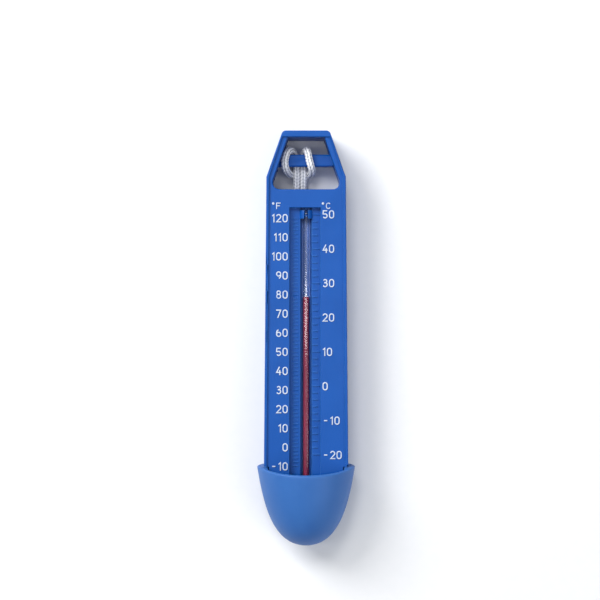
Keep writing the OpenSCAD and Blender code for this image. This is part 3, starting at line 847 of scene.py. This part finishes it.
def add_cup(material):
    turns = 144
    angle = 2 * math.pi * (np.arange(turns) + 0.5) / turns
    outer = cup_side(angle, 0, 2 * CUP_RADIUS, 0, 44)
    inner = cup_side(angle, CUP_WALL, WATER_HALF, CUP_FLOOR, 30)
    across = (inner[0] - outer[0]) * (1, 0, 1)
    across /= np.linalg.norm(across, axis=1)[:, None]
    quarter = np.linspace(0, math.pi / 2, 6)[1:]
    inner_lip = cup_lip(inner[0], -across, quarter)
    outer_lip = cup_lip(outer[0], across, quarter)
    rows = [*inner[::-1], *inner_lip, *outer_lip[::-1], *outer]
    points = np.concatenate(rows) * MM
    cup = new_mesh("cup", points, tube_faces(len(rows), turns, closed_ends=False), material)
    merge_points(cup)
    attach(cup, "thermometer")
    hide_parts("scoop_cup")


# ---- foam strips ----


def add_foam(material):
    """Strips cut from a sheet: slightly wavy faces and rounded edges."""
    wave = 0.12
    inner, step, outer = 3.7, 7.8, 11.6
    low, shelf, high = 9.1, 12.6, 14.5
    corners = [(inner, low), (outer, low), (outer, high), (step, high), (step, shelf), (inner, shelf)]
    section = smooth_line([(x, 0, z) for x, z in corners + corners[:1]], lambda point: 0.6)[:-1]
    rows = np.linspace(RIM_Y + 6, 48, 60)
    for side, name in ((-1, "left"), (1, "right")):
        points = []
        for y in rows:
            for x, _, z in section:
                spot = Vector((x * side, y, z))
                spot += wave * noise_vector(spot * 0.9)
                points.append(spot * MM)
        strip = new_mesh("foam_" + name, points, tube_faces(len(rows), len(section)), material)
        merge_points(strip)
        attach(strip, "thermometer")
        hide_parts("float_strip_" + name)


# ---- end sleeve and tie ----

SLEEVE_Y = 34.6
HANK_MIDDLE_Z = 2.925


def closing_faces(rings, sides):
    """Faces that join the last ring of points to the first."""
    last = (rings - 1) * sides
    return [(last + k, last + (k + 1) % sides, (k + 1) % sides, k) for k in range(sides)]


def squared_ring(half_x, half_z, y, z, count, power=3):
    """A ring of points on a rounded rectangle about (0, y, z)."""
    points = []
    for k in range(count):
        c, s = math.cos(2 * math.pi * k / count), math.sin(2 * math.pi * k / count)
        scale = (abs(c) ** power + abs(s) ** power) ** (-1 / power)
        points.append((half_x * c * scale * MM, y * MM, (z + half_z * s * scale) * MM))
    return points


def add_end_sleeve(material):
    """An oval aluminium sleeve, pinched flat in three places round the cord's two ends."""
    half_length, half_width, half_height = 4.5, 2.82, 1.53
    wall = 0.35
    pinch_depth, flare_height = 0.17, 0.06
    flare_from = 0.84  # the part of the half length where the flared ends begin
    rings = []
    steps = 46
    sides = 48
    for inset, order in ((0, 1), (wall, -1)):
        for i in range(steps + 1):
            t = order * (2 * i / steps - 1)
            pinch = pinch_depth * max(math.cos(3 * math.pi * t), 0) ** 2 if abs(t) < flare_from else 0
            flare = flare_height * ease((abs(t) - flare_from) / (1 - flare_from))
            half_x = half_width + pinch * 0.4 + flare - inset
            half_z = half_height - pinch + flare - inset
            rings += squared_ring(half_x, half_z, SLEEVE_Y + t * half_length, HANK_MIDDLE_Z, sides)
    faces = tube_faces(2 * (steps + 1), sides, closed_ends=False)
    faces += closing_faces(2 * (steps + 1), sides)
    sleeve = new_mesh("end_sleeve_crimped", rings, faces, material)
    merge_points(sleeve)
    sleeve.data.set_sharp_from_angle(angle=math.radians(50))
    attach(sleeve, "thermometer")
    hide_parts("end_sleeve")
    return sleeve


TIE_Y = 15.5


def tube_along(points, radius, sides=12):
    """Points and faces of a round tube along a list of places in millimetres."""
    line = np.array(points, float)
    _, first, second = carried_frames(line)
    rings = []
    for place, u, v in zip(line, first, second):
        for k in range(sides):
            a = 2 * math.pi * k / sides
            rings.append((place + radius * (math.cos(a) * u + math.sin(a) * v)) * MM)
    return rings, tube_faces(len(line), sides)


def tie_band():
    """The flat part of the tie, round the hank: a ribbon with a wire down its middle."""
    # offset along Y and height above the hank
    profile = [(-1.5, 0), (-0.5, 0), (-0.25, -0.06), (0, -0.1), (0.25, -0.06), (0.5, 0), (1.5, 0)]
    profile += [(1.5, 0.16), (0.5, 0.18), (0.3, 0.3), (0, 0.42), (-0.3, 0.3), (-0.5, 0.18), (-1.5, 0.16)]
    half_x, half_z, corner = 12.1, 2.5, 1.4
    path = []
    for quarter in range(4):
        for i in range(9):
            angle = math.pi / 2 * (quarter + i / 8)
            sign_x = 1 if quarter in (0, 3) else -1
            sign_z = 1 if quarter < 2 else -1
            out = Vector((math.cos(angle), 0, math.sin(angle)))
            centre = Vector((sign_x * (half_x - corner), TIE_Y, HANK_MIDDLE_Z + sign_z * (half_z - corner)))
            path.append((centre + corner * out, out))
        middle = path[-1][0].lerp(Vector((0, TIE_Y, path[-1][0].z)), 0.5) if quarter % 2 == 0 else None
        if middle:
            path.append((middle, path[-1][1]))
    points = []
    for place, out in path:
        for y, lift in profile:
            points.append((place + out * lift + Vector((0, y, 0))) * MM)
    sides = len(profile)
    return points, tube_faces(len(path), sides, closed_ends=False) + closing_faces(len(path), sides)


def tie_tail(turn):
    """One of the two ends twisted round each other in the hank's middle gap."""
    route = [(0, TIE_Y, 5.3), (0, 13.6, 4.9), (0, 12.3, 3.6), (0.3, 10, 3), (0.6, 5.5, 2.8)]
    spine = smooth_line(route, lambda point: 0.2)
    radius = 0.36
    steps_per_turn = 14
    _, first, second = carried_frames(spine)
    places = []
    for i, (place, u, v) in enumerate(zip(spine, first, second)):
        a = turn + 2 * math.pi * i / steps_per_turn
        places.append(place + radius * (math.cos(a) * u + math.sin(a) * v))
    return tube_along(places, radius)


def add_tie(material):
    parts = [tie_band(), tie_tail(0), tie_tail(math.pi)]
    points, faces = [], []
    for part_points, part_faces in parts:
        base = len(points)
        points += part_points
        faces += [tuple(base + k for k in face) for face in part_faces]
    tie = new_mesh("twist_tie", points, faces, material)
    merge_points(tie)
    tie.data.set_sharp_from_angle(angle=math.radians(50))
    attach(tie, "thermometer")
    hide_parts("hank_tie")
    return tie


# ---- the whole object ----

add_camera()
add_studio()
add_floor()
end_sleeve = add_end_sleeve(metal_material())
tie = add_tie(tie_material())
add_cord(braid_material())
add_housing(housing_material())
add_figures(paint_material())
add_cup(cup_material())
add_foam(foam_material())
add_tube(glass_material(), enamel_material())
add_spirit(spirit_material())
add_bulb_sleeve(rubber_material())
